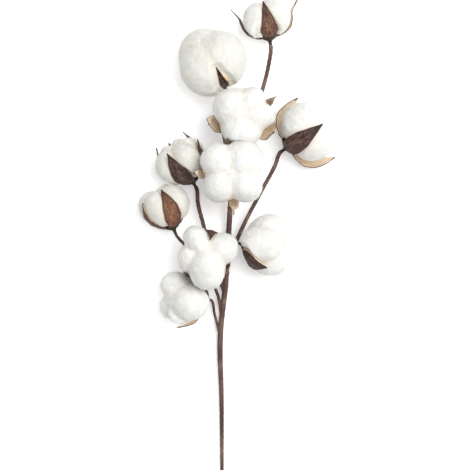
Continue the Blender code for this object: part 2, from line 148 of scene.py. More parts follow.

# Inputs of the lint's node group
LINT_INPUTS = {
    "Lump Size": 0.011,
    "Lump Height": 0.0014,
    "Tuft Size": 0.0036,
    "Tuft Height": 0.0006,
    "Fuzz Size": 0.0012,
    "Fuzz Height": 0.0003,
    "Fibre Density": 120000.0,
    "Fibre Length": 0.008,
    "Fibre Radius": 0.00007,
    "Fibre Curl": 0.004,
    "Ground": GROUND,
    "Seed": 0,
}
LINT_DISTORTION = {"Lump": 0.0, "Tuft": 0.6, "Fuzz": 0.8}
FIBRE_TURN = Vector((0.30, 0.55, math.pi))  # the most that a fibre turns from lying flat
FIBRE_SIZES = (0.45, 1.3)
FIBRE_TIP = 0.2
FIBRE_POINTS = 5
FIBRE_SIDES = 3
FIBRE_WAVES = 260.0  # a metre

# Inputs of the stem's node group
STEM_INPUTS = {
    "Step": 0.0009,
    "Tape Width": 0.0065,
    "Ridge": 0.00022,
    "Wobble": 0.00022,
    "Ground": GROUND,
    "Sides": 14,
}
STEM_WAVES = 160.0  # a metre
STEM_CURVE_POINTS = 24
STEM_END_HANDLE = 0.006

# Studio: half the floor's width, lamps as (name, place, size, power), and the camera, which
# takes in VIEW_WIDTH at VIEW_DISTANCE
FLOOR_REACH = 3
FLOOR_GLOW = 0.35
BACKDROP_STRENGTH = 0.42
LAMPS = (("key", (0.6, 0.35, 1.5), 1.1, 25), ("fill", (-0.9, -0.3, 1.3), 1.4, 2))
CAMERA_HEIGHT = 1.5
SENSOR_WIDTH = 36
VIEW_WIDTH = 0.51935
VIEW_DISTANCE = 1.48

# Colours, and ramps of (place, colour)
TAN = (0.74, 0.60, 0.44)
# Painted warm shade for the creases where lobes meet
CREASE_SHADE = (0.78, 0.63, 0.43)
# A creamy tint that is partly painted shade: it darkens whole bolls that lie less in the light
CREAM_AND_SHADE = (0.90, 0.895, 0.86)
DARK_RIM = (0.035, 0.02, 0.015)
BROWN_RIM = (0.10, 0.06, 0.045)
WHITE_LINT = ((0.30, (0.84, 0.84, 0.82)), (0.62, (0.89, 0.89, 0.87)))
OFF_WHITE = ((0.35, (0.92, 0.90, 0.85)), (0.60, (0.98, 0.98, 0.965)))
DARK_HUSK = (
    (0.30, (0.036, 0.020, 0.016)),
    (0.52, (0.115, 0.066, 0.054)),
    (0.72, (0.25, 0.165, 0.135)),
)
RUSSET_HUSK = (
    (0.28, (0.10, 0.044, 0.025)),
    (0.50, (0.27, 0.120, 0.068)),
    (0.74, (0.50, 0.28, 0.155)),
)
BLOTCHES = ((0.38, (0.40, 0.30, 0.30)), (0.50, (0.86, 0.80, 0.78)), (0.60, (1, 1, 1)))
SPECKLES = ((0.32, (0.45, 0.42, 0.40)), (0.58, (1, 1, 1)))
STRAW_LINING = (
    (0.28, (0.78, 0.53, 0.33)),
    (0.48, (0.95, 0.77, 0.55)),
    (0.70, (0.98, 0.91, 0.76)),
)
# Brown lining, partly painted shade: some valves use it where their lining lies in shadow
LINING_BROWN_AND_SHADE = (
    (0.28, (0.12, 0.075, 0.05)),
    (0.48, (0.24, 0.165, 0.115)),
    (0.70, (0.42, 0.31, 0.22)),
)
WORN_LINING = ((0.33, (0.84, 0.74, 0.64)), (0.58, (1, 1, 1)))
BROWN_TAPE = (
    (0.30, (0.075, 0.038, 0.030)),
    (0.52, (0.135, 0.078, 0.062)),
    (0.74, (0.24, 0.155, 0.12)),
)
CRINKLES = ((0.34, (0.62, 0.58, 0.56)), (0.60, (1, 1, 1)))


@dataclass
class Boll:
    """One open boll. heading and lift, in degrees, say which way it opens: round the upright,
    and up from the ground. azimuths, in degrees, are where its valves stand round its axis.
    Each tuple after those has a number for each valve, or for the lobe that follows it.
    """

    name: str
    centre: tuple
    radius: float
    heading: float
    lift: float
    azimuths: tuple
    seed: int
    # Lobes: how far apart, how softly they meet, their size, their breadth, and how far sunk
    spread: float = 1.0
    blend: float = 0.035
    puff: tuple = (1,) * 5
    broad: tuple = (1,) * 5
    drop: tuple = (0,) * 5
    # Valves: share of the full length and width, from leaf to spade in outline, how far the
    # belly and the tip stand out, how far the tip bends aside, and how far in degrees the
    # two edges roll, on a curl of this radius
    length: tuple = (1,) * 5
    width: tuple = (1,) * 5
    spade: tuple = (0,) * 5
    splay: tuple = (0,) * 5
    flick: tuple = (0.05,) * 5
    hook: tuple = (0,) * 5
    roll: tuple = ((40, 40),) * 5
    curl: float = 0.0016
    # Finish, from 0 to 1: dark brown to russet outside, brown to straw inside, white to creamy
    # and
    #     darker. The brown lining is partly painted shade on linings in shadow, and the creamy,
    #     darker bolls are partly a creamy tint and partly painted shade.
    tone: tuple = (0.15,) * 5
    straw: tuple = (1,) * 5
    cream: float = 0.0

    def count(self):
        return len(self.azimuths)

    def valve_phi(self, index):
        return math.radians(self.azimuths[index % self.count()] + index // self.count() * 360)

    def gap(self, index):
        """Angle round the axis from a valve to the next."""
        return self.valve_phi(index + 1) - self.valve_phi(index)

    def sphere(self):
        """Radius of the ball that the valves and the cup follow."""
        return VALVE_RADIUS * self.radius

    def edge(self, radius):
        """The angle up from the stalk at which that ball is this wide."""
        return math.asin(radius / self.sphere())

    def middle(self):
        return Vector(self.centre) + SHIFT

    def matrix(self):
        """From the boll's own frame to the model's."""
        heading, lean = math.radians(self.heading), math.radians(90 - self.lift)
        turn = Matrix.Rotation(heading, 4, "Z") @ Matrix.Rotation(lean, 4, "Y")
        return Matrix.Translation(self.middle()) @ turn

    def axis(self):
        heading, lift = math.radians(self.heading), math.radians(self.lift)
        level = math.cos(lift)
        return Vector((math.cos(heading) * level, math.sin(heading) * level, math.sin(lift)))

    def stalk_end(self):
        depth = self.sphere() + CUP_THICKNESS / 2 + STALK_LENGTH
        return self.middle() - self.axis() * depth


# The creamy finish that some bolls get below is partly painted shade on bolls less in the light
BOLLS = [
    Boll("boll_01", (0.0340, 0.2410, 0.0230), 0.0265, 100, 12, azimuths=(0, 96, 183, 284),
        puff=(1, 1.24, 1.1, 1), drop=(-0.1, -0.3, -0.05, 0), length=(1, 0.98, 1.2, 0.93),
        width=(1, 0.9, 1.2, 1.0), spade=(0, -0.9, 1, 0.3), splay=(0.1, 0.2, 0.04, 0.2),
        flick=(0.1, 0.4, 0.05, 0.5), hook=(0, 0, -0.12, 0.1),
        roll=((40, 40), (20, 50), (30, 30), (60, 40)), tone=(0.2, 0.15, 0.55, 0.3), seed=1,
        cream=0.45),
    Boll("boll_02", (-0.0255, 0.1890, 0.0312), 0.0360, 120, 44, azimuths=(70, 180, 308),
        spread=0.84, blend=0.09, puff=(1.08, 1.08, 1.14), drop=(0.02, 0.02, 0.0),
        length=(0.6, 1.0, 0.5), width=(0.5, 0.38, 0.5), spade=(0, -0.6, 0),
        splay=(0.0, -0.14, 0), flick=(0, 0, 0), roll=((40, 40), (10, 200), (40, 40)),
        curl=0.0024, seed=2, cream=0.8),
    Boll("boll_03", (0.0090, 0.1290, 0.0500), 0.0330, 0, 90, azimuths=(29, 92, 195, 330),
        spread=1.02, blend=0.1, puff=(0.98, 1.08, 0.98, 0.98), length=(1.0, 0.4, 0.95, 0.98),
        width=(0.28, 0.4, 0.85, 0.95), spade=(1, 0, 0.4, 0.2), splay=(0.16, 0, 0.18, 0.19),
        flick=(0.26, 0, 0.16, 0.14), roll=((40, 40), (40, 40), (150, 30), (30, 60)),
        curl=0.0024, straw=(0.3, 1, 0.8, 1), seed=3),
    Boll("boll_04", (0.0820, 0.1140, 0.0290), 0.0350, 35, 22, azimuths=(0, 65, 186, 290),
        puff=(0.88, 0.96, 0.94, 0.88), length=(0.8, 0.84, 1.2, 0.8), width=(1, 1.2, 0.94, 1.05),
        spade=(0, -0.4, 0, -0.7), splay=(0.1, 0.27, 0.04, 0.26), flick=(0, 0.05, 0.08, 0.04),
        roll=((40, 40), (20, 20), (25, 40), (20, 20)), tone=(0.2, 0.2, 0.05, 0.2), seed=4,
        cream=0.15),
    Boll("boll_05", (-0.0595, 0.0810, 0.0258), 0.0285, 120, 20, azimuths=(5, 58, 163, 252, 304),
        length=(1.2, 1.3, 1.22, 1.04, 1.25), width=(0.8, 0.6, 1.08, 1.5, 0.8),
        splay=(0.05, 0.02, 0.02, 0.02, 0.1), flick=(0.05, 0.16, 0.12, 0.22, 0.15),
        hook=(0, 0, -0.12, 0, 0), tone=(0.2, 0.1, 0.02, 0.25, 0.1), straw=(1, 0.2, 1, 0.2, 0.2),
        seed=5, cream=0.8),
    Boll("boll_06", (-0.0030, 0.0670, 0.0580), 0.0360, 0, 90, azimuths=(0, 98, 182, 272),
        spread=1.08, blend=0.06, puff=(1.12, 1.08, 0.98, 1.02), length=(0.3, 0.92, 1.0, 1.04),
        width=(0.5, 0.45, 0.42, 0.42), spade=(0, 1, 1, 1), splay=(-0.1, 0.12, 0.13, 0.12),
        flick=(0, 0.2, 0.22, 0.4), roll=((40, 40), (40, 40), (120, 40), (40, 120)),
        straw=(1, 0.2, 1, 0.7), seed=6),
    Boll("boll_07", (-0.0780, 0.0320, 0.0252), 0.0280, 112, 12, azimuths=(8, 118, 194, 298),
        length=(1, 1.08, 1.27, 1), width=(1, 0.9, 1, 0.8), splay=(0.05, 0.0, 0.02, 0),
        flick=(0.05, 0.04, 0.05, 0), roll=((40, 40), (20, 130), (25, 60), (40, 40)),
        tone=(0.2, 0.25, 1.0, 0.2), seed=7, cream=0.9),
    # Its last valve's low straw value gives its lining painted shade
    Boll("boll_08", (-0.0310, -0.0200, 0.0480), 0.0340, 0, 88, azimuths=(76, 176, 227, 318),
        spread=1.06, blend=0.04, puff=(0.95, 0.84, 1.2, 1.0), broad=(0.78, 1.5, 0.92, 0.86),
        drop=(0, -0.05, 0.16, 0), length=(1.3, 0.3, 1.0, 1.05), width=(0.7, 0.3, 0.55, 1.0),
        spade=(0, 0, 0, -0.3), splay=(-0.15, 0, 0.03, -0.06), flick=(0, 0, 0.12, 0.22),
        roll=((30, 30), (40, 40), (30, 30), (30, 30)), tone=(0.4, 0.2, 0, 0.2),
        straw=(0.3, 1, 0.0, 0.15), seed=8),
    Boll("boll_09", (0.0375, -0.0110, 0.0292), 0.0320, -3, 15, azimuths=(45, 130, 226, 315),
        puff=(1.02, 1.08, 1.02, 1.02), drop=(-0.05, -0.2, 0, 0), length=(1.0, 0.28, 0.84, 1.0),
        width=(1.0, 0.25, 1.6, 1.0), spade=(0, 0, 0.3, 0), splay=(0.10, 0, 0.08, 0.10),
        flick=(0.05, 0, 0.10, 0.05), roll=((40, 40), (40, 40), (150, 30), (40, 40)),
        tone=(0.2, 0.2, 0.05, 0.2), seed=9),
    Boll("boll_10", (-0.0588, -0.0712, 0.0262), 0.0310, 178, 33, azimuths=(92, 120, 224, 335),
        spread=1.1, blend=0.1, puff=(0.72, 1.05, 0.92, 0.84), broad=(1, 1.06, 0.95, 1),
        drop=(0.1, -0.12, 0.15, 0.02), length=(0.86, 0.3, 0.7, 0.9), width=(1.0, 0.3, 1.2, 0.8),
        spade=(-1, 0, 0, 0), splay=(0.04, 0, 0.1, 0), flick=(0.05, 0, 0.05, 0.05), seed=10),
]

# Stems: centreline points with a radius at each. The main stem starts at its cut end.
MAIN_STEM = [
    (-0.0145, -0.2700, 0.0020, 0.0018), (-0.0150, -0.1840, 0.0038, 0.0025),
    (-0.0165, -0.1170, 0.0065, 0.0031), (-0.0145, -0.0890, 0.0080, 0.0031),
    (-0.0110, -0.0610, 0.0090, 0.0031), (-0.0090, -0.0300, 0.0100, 0.0031),
    (-0.0065, 0.0110, 0.0110, 0.0030), (-0.0045, 0.0440, 0.0120, 0.0028),
    (-0.0020, 0.0700, 0.0120, 0.0024),
]
# Side stems: a radius, then points from inside the stem that it grows from up to its boll.
SIDE_STEMS = {
    "boll_01": (0.0022, [
        (-0.003, 0.061, 0.012), (0.012, 0.105, 0.010), (0.023, 0.133, 0.011),
        (0.030, 0.159, 0.014), (0.037, 0.187, 0.018),
    ]),
    "boll_02": (0.0021, [
        (-0.004, 0.056, 0.012), (-0.011, 0.104, 0.011), (-0.0145, 0.119, 0.011),
        (-0.021, 0.139, 0.013),
    ]),
    "boll_03": (0.0022, [(0.006, 0.089, 0.011), (0.011, 0.108, 0.010)]),
    "boll_04": (0.0022, [
        (-0.009, -0.033, 0.010), (0.002, -0.0055, 0.013), (0.0145, 0.021, 0.015),
        (0.030, 0.050, 0.017), (0.044, 0.076, 0.018),
    ]),
    "boll_05": (0.0022, [
        (-0.012, -0.063, 0.009), (-0.0245, -0.030, 0.010), (-0.035, 0.011, 0.012),
        (-0.041, 0.035, 0.014),
    ]),
    "boll_06": (0.0024, [(-0.003, 0.056, 0.012)]),
    "boll_07": (0.0017, [
        (-0.0145, -0.092, 0.008), (-0.021, -0.062, 0.010), (-0.039, -0.037, 0.011),
        (-0.055, -0.012, 0.014),
    ]),
    "boll_08": (0.0022, [(-0.011, -0.056, 0.009), (-0.025, -0.036, 0.009)]),
    "boll_09": (0.0022, [(-0.008, -0.028, 0.010), (-0.004, -0.018, 0.014)]),
    "boll_10": (0.0015, [(-0.017, -0.112, 0.007), (-0.0225, -0.089, 0.010)]),
}


# --- Node trees ---


class Tree:
    """A node tree, filled one node at a time."""

    def __init__(self, tree):
        self.tree = tree

    def fill(self, node, sockets):
        """Sets a node's sockets. Another node's output is linked, a colour gets its alpha."""
        for name, value in sockets.items():
            socket = node.inputs[name]
            if isinstance(value, bpy.types.NodeSocket):
                self.tree.links.new(value, socket)
            elif socket.type == "RGBA":
                socket.default_value = (*value, 1)
            else:
                socket.default_value = value

    def add(self, kind, sockets=None, **settings):
        node = self.tree.nodes.new(kind)
        for name, value in settings.items():
            setattr(node, name, value)
        self.fill(node, sockets or {})
        return node

    def shader(self, kind, sockets=None, output=0, **settings):
        """An output of a new shader node of this kind."""
        return self.add("ShaderNode" + kind, sockets, **settings).outputs[output]

    def maths(self, operation, a, b=0.0):
        return self.shader("Math", {0: a, 1: b}, operation=operation)

    def product(self, first, *others):
        for other in others:
            first = self.maths("MULTIPLY", first, other)
        return first

    def vector_maths(self, operation, a, b):
        return self.shader("VectorMath", {0: a, 1: b}, operation=operation)

    def scaled(self, vector, factor):
        return self.shader("VectorMath", {0: vector, "Scale": factor}, operation="SCALE")

    def combined(self, **parts):
        return self.shader("CombineXYZ", parts)

    def noise(self, vector, scale, detail, distortion=0.0, output="Fac"):
        sockets = {"Vector": vector, "Scale": scale, "Detail": detail, "Distortion": distortion}
        return self.shader("TexNoise", sockets, output)

    def ramp(self, fac, stops):
        """A colour ramp. stops are (place, colour) pairs."""
        node = self.add("ShaderNodeValToRGB", {"Fac": fac})
        elements = node.color_ramp.elements
        while len(elements) < len(stops):
            elements.new(0.5)
        for element, (place, colour) in zip(elements, stops):
            element.position = place
            element.color = (*colour, 1)
        return node.outputs["Color"]

    def mixed(self, fac, a, b, blend="MIX"):
        """Two colours mixed."""
        sockets = {0: fac, 6: a, 7: b}
        settings = {"data_type": "RGBA", "blend_type": blend, "clamp_factor": True}
        return self.shader("Mix", sockets, 2, **settings)

    # For materials

    def object_place(self):
        return self.shader("TexCoord", output="Object")

    def attribute(self, name):
        return self.shader("Attribute", output="Fac", attribute_name=name)

    def streaks(self, uv_map, stretch, detail, distortion):
        """Noise drawn out along a surface, and the surface's coordinates."""
        surface = self.shader("UVMap", output="UV", uv_map=uv_map)
        drawn = self.shader("Mapping", {"Vector": surface, "Scale": stretch})
        return self.noise(drawn, 1.0, detail, distortion), surface

    def bump(self, height, distance, strength):
        sockets = {"Height": height, "Distance": distance, "Strength": strength}
        return self.shader("Bump", sockets, "Normal")

    # For Geometry Nodes

    def geometry(self, kind, sockets=None, output=0, **settings):
        """An output of a new Geometry Nodes node of this kind."""
        return self.add("GeometryNode" + kind, sockets, **settings).outputs[output]

    def named(self, name):
        """A float that the geometry carries under this name."""
        return self.geometry("InputNamedAttribute", {"Name": name}, data_type="FLOAT")

    def stored(self, geometry, name, value, data_type="FLOAT", domain="POINT"):
        """The geometry with a value that it carries under a name."""
        sockets = {"Geometry": geometry, "Name": name, "Value": value}
        settings = {"data_type": data_type, "domain": domain}
        return self.geometry("StoreNamedAttribute", sockets, **settings)

    def swept(self, curve, profile, girth):
        """The profile swept along the curve, made as thick as the girth at each point."""
        sockets = {"Curve": curve, "Profile Curve": profile, "Scale": girth, "Fill Caps": True}
        return self.geometry("CurveToMesh", sockets)

    def above_ground(self, geometry, ground):
        """The geometry with every point that is below the ground lifted onto it."""
        place = self.geometry("InputPosition")
        split = self.add("ShaderNodeSeparateXYZ", {0: place}).outputs
        height = self.maths("MAXIMUM", split["Z"], ground)
        place = self.combined(X=split["X"], Y=split["Y"], Z=height)
        return self.geometry("SetPosition", {"Geometry": geometry, "Position": place})

    def pushed_out(self, geometry, height, ground):
        """The geometry moved out along its normals, and kept above the ground."""
        normal = self.geometry("InputNormal")
        sockets = {"Geometry": geometry, "Offset": self.scaled(normal, height)}
        moved = self.geometry("SetPosition", sockets)
        return self.above_ground(moved, ground)

    def end(self, geometry, material):
        """Ends a group in plain geometry of the material."""
        whole = self.geometry("RealizeInstances", {"Geometry": geometry})
        finished = self.geometry("SetMaterial", {"Geometry": whole, "Material": material})
        self.add("NodeGroupOutput", {"Geometry": finished})


def new_group(name, inputs):
    """A Geometry Nodes group with named inputs, its tree, and the inputs' sockets."""
    group = bpy.data.node_groups.new(name, "GeometryNodeTree")
    faces = group.interface
    faces.new_socket("Geometry", in_out="INPUT", socket_type="NodeSocketGeometry")
    for label, value in inputs.items():
        kind = "NodeSocketInt" if isinstance(value, int) else "NodeSocketFloat"
        faces.new_socket(label, in_out="INPUT", socket_type=kind).default_value = value
    faces.new_socket("Geometry", in_out="OUTPUT", socket_type="NodeSocketGeometry")
    tree = Tree(group)
    return group, tree, tree.add("NodeGroupInput").outputs


# --- Finishes ---


def new_material(name, finish):
    """A material whose shader gets the inputs that finish, given its tree, returns."""
    made = bpy.data.materials.new(name)
    made.use_nodes = True
    tree = Tree(made.node_tree)
    tree.fill(made.node_tree.nodes["Principled BSDF"], finish(tree))
    return made


def cotton_finish(tree):
    """Soft white lint with a fine tangle of fibres, creamier and darker on some bolls, partly
    as painted shade, faintly tan near the valves, and with painted shade in the creases."""
    place = tree.object_place()
    patches = tree.noise(place, 55, 3)
    tufts = tree.noise(place, 420, 4, 1.2)
    threads = tree.noise(place, 1500, 3, 2.5)
    white, off_white = tree.ramp(tufts, WHITE_LINT), tree.ramp(patches, OFF_WHITE)
    body = tree.mixed(0.6, white, off_white, "MULTIPLY")
    near_valve = tree.mixed(0.32, body, TAN)
    colour = tree.mixed(tree.maths("POWER", tree.attribute("loose"), 0.6), near_valve, body)
    # Creamier and darker whole bolls: partly a creamy tint, partly painted shade
    colour = tree.mixed(tree.attribute("cream"), colour, CREAM_AND_SHADE, "MULTIPLY")
    # Painted shade in the creases where lobes meet, warm and patchy
    crease_shade = tree.product(tree.attribute("crease"), patches, 0.55)
    height = tree.maths("ADD", tree.product(tufts, 1.5), threads)
    return {
        "Base Color": tree.mixed(crease_shade, colour, CREASE_SHADE),
        "Roughness": 1.0,
        "Specular IOR Level": 0.1,
        "Sheen Weight": 0.08,
        "Sheen Roughness": 0.6,
        "Subsurface Weight": 0.35,
        "Subsurface Radius": (0.9, 0.85, 0.8),
        "Subsurface Scale": 0.004,
        "Normal": tree.bump(height, 0.0004, 0.45),
    }


def rim_share(tree, surface, noise_value, start, end):
    """0 in the middle of a valve, rising to 1 at its long edges and its tip."""
    split = tree.add("ShaderNodeSeparateXYZ", {0: surface}).outputs
    aside = tree.maths("ABSOLUTE", tree.maths("SUBTRACT", split["X"], 0.5))
    wander = tree.product(tree.maths("SUBTRACT", noise_value, 0.5), 0.25)
    outer = tree.maths("MAXIMUM", tree.product(aside, 2.0), split["Y"])
    outer = tree.maths("ADD", outer, wander)
    limits = {"Value": outer, "From Min": start, "From Max": end}
    return tree.shader("MapRange", limits, "Result")


def husk_finish(tree):
    """Dried husk: dark brown to russet, blotched and veined, darker at its edges and tip."""
    place = tree.object_place()
    veins, surface = tree.streaks("valve", (26, 3.5, 1), 4, 0.8)
    mottle = tree.noise(place, 330, 4, 0.5)
    blotches = tree.noise(place, 170, 3, 1.2)
    dark, russet = tree.ramp(veins, DARK_HUSK), tree.ramp(veins, RUSSET_HUSK)
    husk = tree.mixed(tree.attribute("tone"), dark, russet)
    husk = tree.mixed(0.85, husk, tree.ramp(blotches, BLOTCHES), "MULTIPLY")
    husk = tree.mixed(0.75, husk, tree.ramp(mottle, SPECKLES), "MULTIPLY")
    rim = tree.product(rim_share(tree, surface, mottle, 0.66, 1.02), 0.85)
    limits = {"Value": mottle, "To Min": 0.5, "To Max": 0.8}
    height = tree.maths("ADD", veins, tree.product(mottle, 0.4))
    return {
        "Base Color": tree.mixed(rim, husk, DARK_RIM),
        "Roughness": tree.shader("MapRange", limits, "Result"),
        "Specular IOR Level": 0.35,
        "Normal": tree.bump(height, 0.0006, 0.8),
    }


def lining_finish(tree):
    """The valve's lining: pale straw with fine lines up the valve, brown at rim and tip. A low
    straw value turns it brown, partly as painted shade on linings that lie in shadow.
    """
    lines, surface = tree.streaks("valve", (22, 2.5, 1), 3, 0.4)
    patches = tree.noise(tree.object_place(), 180, 3)
    straw, brown = tree.ramp(lines, STRAW_LINING), tree.ramp(lines, LINING_BROWN_AND_SHADE)
    # Low straw values mix in the brown lining, which on some valves is painted shade
    lining = tree.mixed(tree.attribute("straw"), brown, straw)
    lining = tree.mixed(0.7, lining, tree.ramp(patches, WORN_LINING), "MULTIPLY")
    rim = rim_share(tree, surface, patches, 0.92, 1.0)
    return {
        "Base Color": tree.mixed(rim, lining, BROWN_RIM),
        "Roughness": 0.45,
        "Specular IOR Level": 0.45,
        "Normal": tree.bump(lines, 0.0003, 0.6),
    }


def tape_finish(tree):
    """Brown paper tape wound round the stems: fine crinkles across, lighter where worn."""
    place = tree.object_place()
    crinkles, _ = tree.streaks("wrap", (3, 900, 1), 3, 0.6)
    brown = tree.ramp(tree.noise(place, 60, 4), BROWN_TAPE)
    height = tree.maths("ADD", crinkles, tree.product(tree.noise(place, 900, 3), 0.4))
    return {
        "Base Color": tree.mixed(0.8, brown, tree.ramp(crinkles, CRINKLES), "MULTIPLY"),
        "Roughness": 0.68,
        "Specular IOR Level": 0.35,
        "Normal": tree.bump(height, 0.0003, 0.7),
    }


def floor_finish(_tree):
    return {
        "Base Color": (0.96, 0.96, 0.96),
        "Roughness": 0.9,
        "Specular IOR Level": 0.1,
        "Emission Color": (1, 1, 1),
        "Emission Strength": FLOOR_GLOW,
    }


# --- The shape of a boll ---


def direction(beta, phi):
    """Unit vectors for arrays of beta and phi."""
    flat = np.sin(beta)
    return np.stack([flat * np.cos(phi), flat * np.sin(phi), -np.cos(beta)], -1)


def smoothstep(value):
    value = np.clip(value, 0, 1)
    return value * value * (3 - 2 * value)


def waves(points, offset):
    """Smooth noise at each of an array of points."""
    places = [Vector(point) + Vector((offset, 0, 0)) for point in points.reshape(-1, 3)]
    return np.array([noise.noise(place) for place in places]).reshape(points.shape[:-1])


def valve_end(boll, index):
    return VALVE_START + (VALVE_END - VALVE_START) * boll.length[index]


def valve_share(boll, index, beta):
    """How far up a valve beta is: 0 at its foot, 1 at its tip."""
    return np.clip((beta - VALVE_START) / (valve_end(boll, index) - VALVE_START), 0, None)


def valve_angle(boll, index, beta):
    """Angle round the axis of the valve's middle line, which its hook bends."""
    own = index % boll.count()
    share = np.minimum(valve_share(boll, own, beta), 1)
    return boll.valve_phi(index) + boll.hook[own] * share**3


def valve_half_angle(boll, index, beta):
    share = np.minimum(valve_share(boll, index, beta), 1)
    leaf = np.interp(share, *zip(*LEAF_OUTLINE))
    outline = leaf + boll.spade[index] * (np.interp(share, *zip(*SPADE_OUTLINE)) - leaf)
    width = VALVE_HALF_WIDTH * boll.radius * boll.width[index] * outline
    crowded = VALVE_CROWDING * min(boll.gap(index - 1), boll.gap(index)) / 2
    return np.minimum(width / (boll.sphere() * np.sin(beta)), crowded)


def valve_radius(boll, index, beta):
    share = valve_share(boll, index, beta)
    belly = np.sin(math.pi / 2 * np.minimum(share / VALVE_BELLY, 1))
    flick = np.clip(share - VALVE_FLICK_START, 0, None) / (1 - VALVE_FLICK_START)
    proud = boll.splay[index] * belly + boll.flick[index] * flick**2
    return boll.sphere() + boll.radius * proud


def lobe_exit(boll, index, rays):
    """Distance along each ray, from the boll's centre, to the far side of one lobe."""
    phi = boll.valve_phi(index) + boll.gap(index) / 2
    offset = LOBE_OFFSET * boll.spread * boll.radius
    size = (LOBE_REACH * boll.radius - offset) * boll.puff[index]
    side = LOBE_SIDE * math.sqrt(math.degrees(boll.gap(index)) / LOBE_SIDE_AT)
    outwards = np.array([math.cos(phi), math.sin(phi), 0])
    sideways = np.array([-math.sin(phi), math.cos(phi), 0])
    upwards = np.array([0, 0, 1])
    along = math.cos(LOBE_TILT) * upwards + math.sin(LOBE_TILT) * outwards
    across = math.cos(LOBE_TILT) * outwards - math.sin(LOBE_TILT) * upwards
    axes = np.array([across, sideways, along])
    halves = size * np.array([1, side * boll.broad[index], LOBE_AXIAL])
    start = axes @ (-offset * outwards - boll.drop[index] * boll.radius * upwards) / halves
    step = rays @ axes.T / halves
    a, b, c = (step * step).sum(-1), step @ start, start @ start - 1
    return (np.sqrt(np.maximum(b * b - a * c, 0)) - b) / a


def lobe_exits(boll, rays):
    return [lobe_exit(boll, index, rays) for index in range(boll.count())]


def lobes_radius(boll, rays):
    """Distance to the surface of the lobes, which run softly into each other."""
    blend = boll.blend * boll.radius
    exits = [distance / blend for distance in lobe_exits(boll, rays)]
    exits.append(np.full(rays.shape[:-1], HEART * boll.radius / blend))
    most = np.max(exits, axis=0)
    return blend * (most + np.log(np.sum(np.exp(exits - most), axis=0)))


def crease(boll, rays):
    """1 along the creases where two lobes meet, falling to 0 on the lobes."""
    exits = np.sort(lobe_exits(boll, rays), axis=0)
    return np.exp(-(exits[-1] - exits[-2]) / CREASE_DEPTH)


def press_planes(boll):
    """Planes that the boll stays behind, as (normal, distance) in its own frame."""
    turn = np.array(boll.matrix().to_3x3()).T
    centre = Vector(boll.centre)
    planes = [(turn @ np.array([0, 0, -1]), centre.z)]
    for other in BOLLS:
        if other is not boll:
            apart = Vector(other.centre) - centre
            reach = apart.length_squared + boll.radius**2 - other.radius**2
            limit = reach / (2 * apart.length) - PRESS_GAP / 2
            planes.append((turn @ np.array(apart.normalized()), limit))
    return planes


def pressed(distance, rays, planes, depth=0):
    """The distance along each ray, cut short within depth of a plane."""
    for normal, limit in planes:
        facing = rays @ normal
        towards = facing > 1e-6
        short = (limit - depth) / np.where(towards, facing, 1)
        distance = np.where(towards, np.minimum(distance, short), distance)
    return distance


def valve_distance(boll, index, beta, rays, planes):
    return pressed(valve_radius(boll, index, beta), rays, planes, VALVE_THICKNESS / 2)


def from_valve(boll, index, beta, phi):
    """Distance over the boll's surface from a valve's edge, 0 under the valve."""
    end = valve_end(boll, index)
    turn = phi - valve_angle(boll, index, beta)
    turn = np.abs((turn + math.pi) % (2 * math.pi) - math.pi)
    half = valve_half_angle(boll, index, np.minimum(beta, end))
    aside = np.clip(turn - half, 0, None) * np.sin(beta) * boll.sphere()
    beyond = np.clip(beta - end, 0, None) * boll.sphere()
    return np.hypot(aside, beyond)


def swell(gap):
    """How far the cotton has swelled past an edge, this far from it: steep, then straight."""
    round_part = np.sqrt(np.clip(gap * (2 * SWELL - gap), 0, None))
    return np.where(gap < SWELL, round_part, 2 * gap - SWELL)


def cotton_surface(boll, beta, phi):
    """Distance to the cotton's surface, and how loose it is there: 0 under a valve or in the
    cup, 1 where it swells freely."""
    rays = direction(beta, phi)
    planes = press_planes(boll)
    distance = pressed(lobes_radius(boll, rays), rays, planes)
    nearest = np.full(beta.shape, 1.0)
    for index in range(boll.count()):
        gap = from_valve(boll, index, beta, phi)
        up_to_tip = np.minimum(beta, valve_end(boll, index))
        inside = valve_distance(boll, index, up_to_tip, rays, planes)
        under = inside - VALVE_THICKNESS / 2 - COTTON_INSET
        distance = np.minimum(distance, under + swell(gap))
        nearest = np.minimum(nearest, gap)
    in_cup = boll.sphere() - CUP_THICKNESS / 2 - COTTON_INSET
    lip = boll.edge(CUP_RADIUS) + CUP_CLEARANCE
    over_lip = np.clip(beta - lip, 0, None) * boll.sphere()
    distance = np.minimum(distance, in_cup + swell(over_lip))
    loose = smoothstep(nearest / (LOOSE_AT * SWELL)) * smoothstep(over_lip / SWELL)
    return distance, loose


# --- Meshes ---


def grid_faces(rows, columns, closed):
    """Quads of a grid whose columns may close on themselves."""
    last = columns if closed else columns - 1
    row, column = np.meshgrid(np.arange(rows - 1), np.arange(last), indexing="ij")
    after = (column + 1) % columns
    corners = [row * columns + column, row * columns + after]
    corners += [(row + 1) * columns + after, (row + 1) * columns + column]
    return np.stack([corner.ravel() for corner in corners], -1).tolist()


def closed_shell(name, rings, poles, matrix):
    """A mesh through rings of points, closed by a pole past each end, facing outwards."""
    rows, columns = rings.shape[:2]
    faces = grid_faces(rows, columns, True)
    first_pole, last_ring = rows * columns, (rows - 1) * columns
    for column in range(columns):
        after = (column + 1) % columns
        faces.append((first_pole, after, column))
        faces.append((first_pole + 1, last_ring + column, last_ring + after))
    mesh = bpy.data.meshes.new(name)
    mesh.from_pydata(np.vstack([rings.reshape(-1, 3), poles]).tolist(), [], faces)
    mesh.transform(matrix)
    shape = bmesh.new()
    shape.from_mesh(mesh)
    bmesh.ops.recalc_face_normals(shape, faces=shape.faces)
    shape.to_mesh(mesh)
    shape.free()
    return mesh


